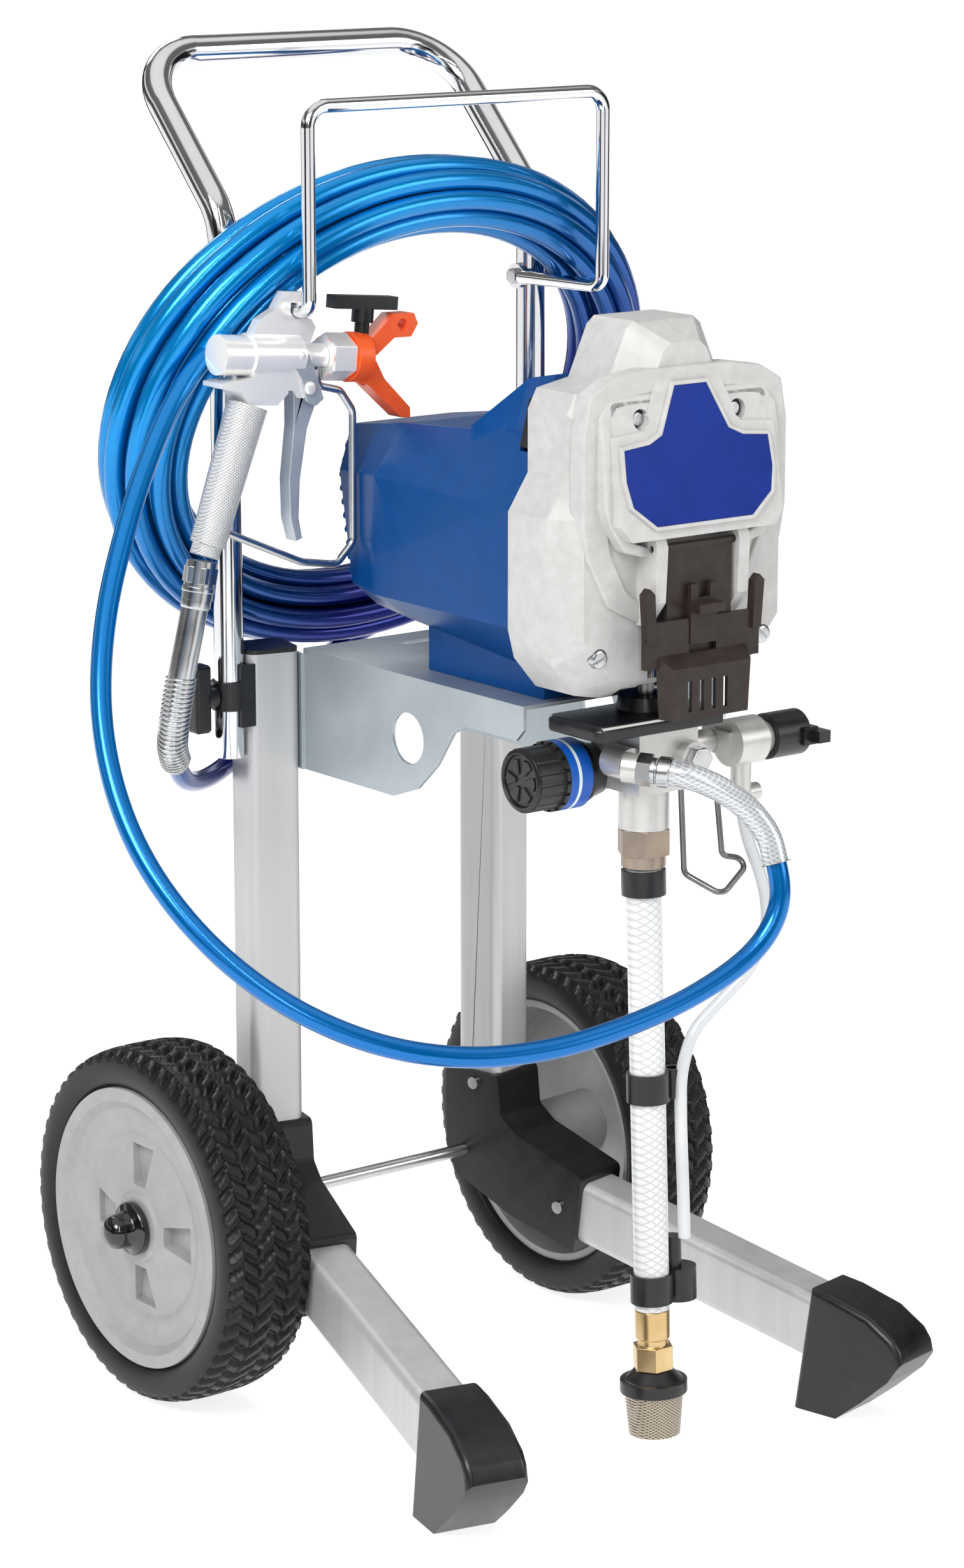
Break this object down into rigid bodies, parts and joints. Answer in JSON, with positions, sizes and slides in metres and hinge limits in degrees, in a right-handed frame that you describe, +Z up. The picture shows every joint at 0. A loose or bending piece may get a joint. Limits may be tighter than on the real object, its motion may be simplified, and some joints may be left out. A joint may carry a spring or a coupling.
{
  "type": "airless paint sprayer",
  "caption": "Airless paint sprayer on a two-wheeled cart: piston pump and motor unit over a suction tube, chrome handle with a hose rack, coiled hose and spray gun.",
  "frame": {"origin": "on the floor, under the middle of the footprint, hose left out", "axes": "+Z up, the pump and label face -Y, the wheels and handle are at the back (+Y), +X is to the right seen from the front"},
  "size_m": [0.5937, 0.5422, 0.9432],
  "materials": {
    "aluminium_tube": "brushed",
    "black_moulding": "matte",
    "blue_hose": "satin",
    "blue_panel": "satin",
    "blue_shell": "satin",
    "braided_tube": "satin",
    "brass": "satin",
    "cast_metal": "cast",
    "chrome": "polished",
    "clear_sleeve": "satin",
    "clear_tube": "satin",
    "copper_winding": "satin",
    "dark_moulding": "matte",
    "grey_shell": "satin",
    "hub_grey": "satin",
    "light_metal": "cast",
    "orange_plastic": "satin",
    "steel": "brushed",
    "strainer_mesh": "woven",
    "tyre_rubber": "satin",
    "zinc_sheet": "satin"
  },
  "bodies": {
    "cart": {"left_upright": "aluminium_tube", "right_upright": "aluminium_tube", "upright_caps": "black_moulding", "left_corner_bracket": "black_moulding", "right_corner_bracket": "black_moulding", "bracket_screws": "steel", "left_leg": "aluminium_tube", "right_leg": "aluminium_tube", "left_foot": "black_moulding", "right_foot": "black_moulding", "axle_rod": "steel", "axle_caps": "black_moulding", "pump_bracket": "zinc_sheet", "handle_guides": "black_moulding", "motor_cover": "blue_shell", "front_cover": "grey_shell", "label_panel": "blue_panel", "cover_screws": "steel", "cord_inlet": "black_moulding", "motor_body": "copper_winding", "pump_block": "cast_metal", "outlet_fitting": "steel", "block_plug": "steel", "prime_valve": "cast_metal", "inlet_nut": "brass", "pail_hook": "steel", "suction_tube": "braided_tube", "drain_tube": "clear_tube", "tube_clips": "black_moulding", "tube_coupling": "brass", "strainer_cap": "black_moulding", "strainer_mesh": "strainer_mesh", "hose_sleeve": "clear_sleeve", "hose_front_run": "blue_hose"},
    "handle": {"handle_frame": "chrome", "hose_rack": "chrome", "rack_bolts": "steel", "hose_coil": "blue_hose", "hose_gun_run": "blue_hose", "gun_hose_end": "steel", "gun_body": "light_metal", "gun_grip": "light_metal", "trigger_guard": "steel"},
    "left_knob": {"left_clamp_knob": "black_moulding"},
    "right_knob": {"right_clamp_knob": "black_moulding"},
    "left_wheel": {"left_tyre": "tyre_rubber", "left_hub": "hub_grey"},
    "right_wheel": {"right_tyre": "tyre_rubber", "right_hub": "hub_grey"},
    "pressure_control": {"pressure_knob": "black_moulding"},
    "prime_control": {"prime_knob": "black_moulding"},
    "switch_rocker": {"power_switch": "black_moulding"},
    "front_door": {"pump_door": "dark_moulding"},
    "latch": {"door_latch": "dark_moulding"},
    "motor_rotor": {"motor_shaft": "steel"},
    "reduction_gear": {"drive_gear": "steel"},
    "piston": {"piston_yoke": "steel"},
    "trigger": {"gun_trigger": "light_metal"},
    "spray_guard": {"tip_guard": "orange_plastic"},
    "tip": {"spray_tip": "black_moulding"}
  },
  "joints": [
    {"name": "handle_slide", "type": "slide", "parent": "cart", "child": "handle", "axis": [0, 0, 1], "range_m": [0, 0.025]},
    {"name": "left_knob_turn", "type": "hinge", "parent": "cart", "child": "left_knob", "pos_m": [-0.157, 0.11992, 0.5], "axis": [-1, 0, 0], "range_deg": [0, 180]},
    {"name": "right_knob_turn", "type": "hinge", "parent": "cart", "child": "right_knob", "pos_m": [0.157, 0.11992, 0.5], "axis": [1, 0, 0], "range_deg": [0, 180]},
    {"name": "left_wheel_spin", "type": "hinge", "parent": "cart", "child": "left_wheel", "pos_m": [-0.182, 0.12742, 0.127], "axis": [1, 0, 0], "continuous": true},
    {"name": "right_wheel_spin", "type": "hinge", "parent": "cart", "child": "right_wheel", "pos_m": [0.182, 0.12742, 0.127], "axis": [1, 0, 0], "continuous": true},
    {"name": "pressure_knob_turn", "type": "hinge", "parent": "cart", "child": "pressure_control", "pos_m": [-0.062, -0.14458, 0.48], "axis": [1, 0, 0], "range_deg": [0, 300]},
    {"name": "prime_knob_turn", "type": "hinge", "parent": "cart", "child": "prime_control", "pos_m": [0.095, -0.19758, 0.497], "axis": [1, 0, 0], "range_deg": [-90, 0]},
    {"name": "power_switch_rock", "type": "hinge", "parent": "cart", "child": "switch_rocker", "pos_m": [-0.063, -0.13208, 0.711], "axis": [0, 1, 0], "range_deg": [-8, 8]},
    {"name": "pump_door_swing", "type": "hinge", "parent": "cart", "child": "front_door", "pos_m": [0, -0.22108, 0.639], "axis": [1, 0, 0], "range_deg": [-80, 0]},
    {"name": "door_latch_slide", "type": "slide", "parent": "front_door", "child": "latch", "axis": [0, 0, 1], "range_m": [-0.004, 0], "stiffness_N_per_m": 400},
    {"name": "drive_gear_turn", "type": "hinge", "parent": "cart", "child": "reduction_gear", "pos_m": [0, -0.15458, 0.59975], "axis": [0, 1, 0], "continuous": true},
    {"name": "motor_turn", "type": "hinge", "parent": "cart", "child": "motor_rotor", "pos_m": [0, -0.15458, 0.64], "axis": [0, 1, 0], "continuous": true},
    {"name": "piston_stroke", "type": "slide", "parent": "cart", "child": "piston", "axis": [0, 0, 1], "range_m": [-0.008, 0.008]},
    {"name": "trigger_pull", "type": "hinge", "parent": "handle", "child": "trigger", "pos_m": [-0.12085, 0.04942, 0.72086], "axis": [0, 1, 0], "range_deg": [0, 15], "stiffness_Nm_per_rad": 1},
    {"name": "tip_guard_turn", "type": "hinge", "parent": "handle", "child": "spray_guard", "pos_m": [-0.08716, 0.04942, 0.73787], "axis": [0.9959, 0, -0.0906], "range_deg": [-90, 90]},
    {"name": "spray_tip_turn", "type": "hinge", "parent": "spray_guard", "child": "tip", "pos_m": [-0.06933, 0.04942, 0.74629], "axis": [0.0906, 0, 0.9959], "range_deg": [0, 180]}
  ],
  "couplings": [
    {"joint": "motor_turn", "follows": "drive_gear_turn", "ratio": -4}
  ]
}
